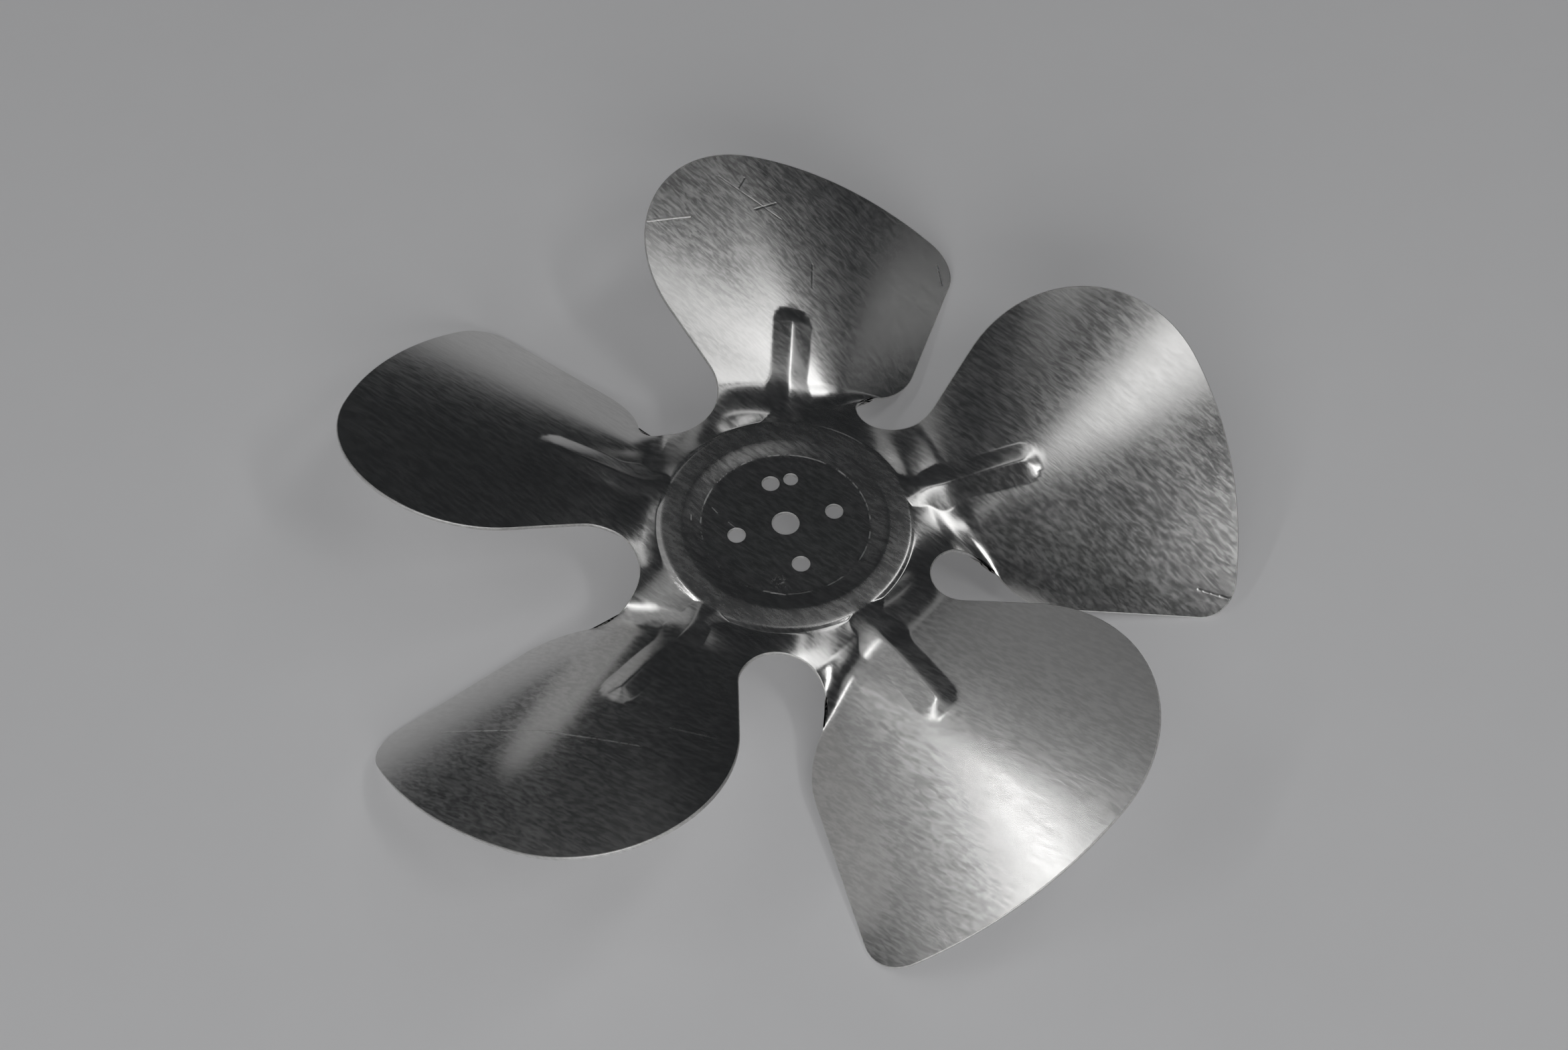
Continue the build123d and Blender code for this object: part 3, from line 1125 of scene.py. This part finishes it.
@dataclass(frozen=True)
class PaleFloor:
    """A plain pale matt floor, which the camera, glass and polished metal see slightly lifted."""

    color: tuple[float, float, float] = (0.80, 0.80, 0.81)
    roughness: float = 0.85
    specular: float = 0.2
    lift: float = 0.10
    mottle_base: float = 0.985
    mottle_depth: float = 0.03

    def build(self, name: str) -> bpy.types.Material:
        """Build the floor's material, with a trace of mottle.

        Args:
            name: its name.

        Returns:
            The material.
        """
        material = bpy.data.materials.new(name)
        board = NodeBoard(material)
        mottle = board.noise(board.place(), scale=60.0, detail=3.0)
        depth = board.math("MULTIPLY", mottle, self.mottle_depth)
        rays = board.node("ShaderNodeLightPath").outputs
        shown = board.math("MAXIMUM", rays["Is Camera Ray"], rays["Is Transmission Ray"])
        shown = board.math("MAXIMUM", shown, rays["Is Glossy Ray"])
        inputs = {
            "Base Color": board.scaled(self.color, board.math("ADD", self.mottle_base, depth)),
            "Roughness": self.roughness,
            "Specular IOR Level": self.specular,
            "Emission Color": (*self.color, 1.0),
            "Emission Strength": board.math("MULTIPLY", shown, self.lift),
        }
        board.surface(board.node("ShaderNodeBsdfPrincipled", inputs))
        return material


# --- Stage ---


class Lamp(Enum):
    """The soft boxes: bearing, angle from straight up and roll, width and length, radiance.

    Angles are in degrees and sizes in metres.
    """

    RIGHT = (4.9, 28.8, 35.0, 0.207, 1.159, 1.24)
    LEFT = (181.1, 43.9, 55.1, 0.030, 1.079, 7.60)
    NEAR = (-49.4, 40.3, -48.1, 0.094, 0.410, 7.74)
    FAR = (138.1, 50.2, -50.0, 0.733, 1.638, 0.24)
    SIDE = (21.8, 31.8, -12.9, 0.178, 1.314, 0.61)
    BACK = (118.0, 32.6, -42.9, 0.230, 1.700, 0.17)
    LOW = (17.2, 71.5, -29.5, 0.030, 0.288, 0.83)
    FILL = (251.0, 66.0, 0.0, 1.30, 0.75, 2.0)

    def place(self, distance: float = 1.3) -> None:
        """Add the lamp as an area light that faces the hub.

        Args:
            distance: how far from the hub it hangs, in metres.
        """
        bearing, tilt, roll, width, length, radiance = self.value
        light = bpy.data.lights.new(f"soft_box_{self.name.lower()}", "AREA")
        light.shape = "RECTANGLE"
        light.size = width
        light.size_y = length
        # An area light of power P and area A has the radiance P / (pi A).
        light.energy = radiance * math.pi * width * length
        lamp = put(light.name, light)
        tip, turn, spin = math.radians(tilt), math.radians(bearing), math.radians(roll)
        outward = Vector((math.cos(turn), math.sin(turn), 0.0))
        back = outward * math.sin(tip) + Vector((0.0, 0.0, math.cos(tip)))
        level = Vector((-math.sin(turn), math.cos(turn), 0.0))
        rise = back.cross(level)
        across = level * math.cos(spin) + rise * math.sin(spin)
        lamp.matrix_world = facing(back * distance, across, back)


@dataclass(frozen=True)
class Studio:
    """The floor, the lamps, the world's light and the camera, whose place is in millimetres.

    focal_pixels is the camera's focal length in pixels of a frame that is frame_width wide.
    """

    floor_size_metres: float = 60.0
    camera_at: tuple[float, float, float] = (-98.0, -288.0, 432.5)
    camera_right: tuple[float, float, float] = (0.9545, -0.2977, 0.0171)
    camera_forward: tuple[float, float, float] = (0.1844, 0.5442, -0.8184)
    focal_pixels: float = 3178.98
    frame_width: int = 2342
    world_color: tuple[float, float, float] = (0.9, 0.95, 1.0)
    world_strength: float = 0.02

    def floor(self, level: float) -> None:
        """Lay the floor as one wide quad.

        Args:
            level: its height in metres.
        """
        half = 0.5 * self.floor_size_metres
        mesh = bpy.data.meshes.new("floor")
        around = ((-half, -half), (half, -half), (half, half), (-half, half))
        mesh.from_pydata([(x, y, level) for x, y in around], [], [(0, 1, 2, 3)])
        made = put("floor", mesh)
        mesh.materials.append(PaleFloor().build("pale_floor"))

    def light(self) -> None:
        """Place every soft box and set the world's plain light."""
        for lamp in Lamp:
            lamp.place()
        world = bpy.data.worlds.new("studio")
        bpy.context.scene.world = world
        world.use_nodes = True
        background = world.node_tree.nodes["Background"]
        background.inputs["Color"].default_value = (*self.world_color, 1.0)
        background.inputs["Strength"].default_value = self.world_strength

    def camera(self) -> None:
        """Place the camera by its own right side and line of sight, and make it the scene's."""
        data = bpy.data.cameras.new("camera")
        data.sensor_fit = "HORIZONTAL"
        data.sensor_width = 36.0
        data.lens = self.focal_pixels / self.frame_width * data.sensor_width
        data.clip_start = 0.01
        made = put("camera", data)
        back = -Vector(self.camera_forward).normalized()
        right = Vector(self.camera_right)
        right = (right - back * right.dot(back)).normalized()
        made.matrix_world = facing(Vector(self.camera_at) * MM, right, back)
        bpy.context.scene.camera = made


def main() -> None:
    """Build the impeller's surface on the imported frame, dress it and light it."""
    logging.basicConfig(level=logging.INFO, format="%(name)s %(message)s")
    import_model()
    bpy.context.scene.view_settings.view_transform = "Standard"

    pressing = ImpellerPressing().build()
    pressing.data.materials.append(RolledAluminium().build("rolled_aluminium"))
    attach(pressing, "root")
    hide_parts("impeller")
    LOG.info("impeller pressing built and dressed")

    studio = Studio()
    level = min(vertex.co.z for vertex in pressing.data.vertices)
    studio.floor(level)
    studio.light()
    studio.camera()
    LOG.info("floor at %.2f mm, lamps and camera placed", level / MM)


if __name__ == "__main__":
    main()
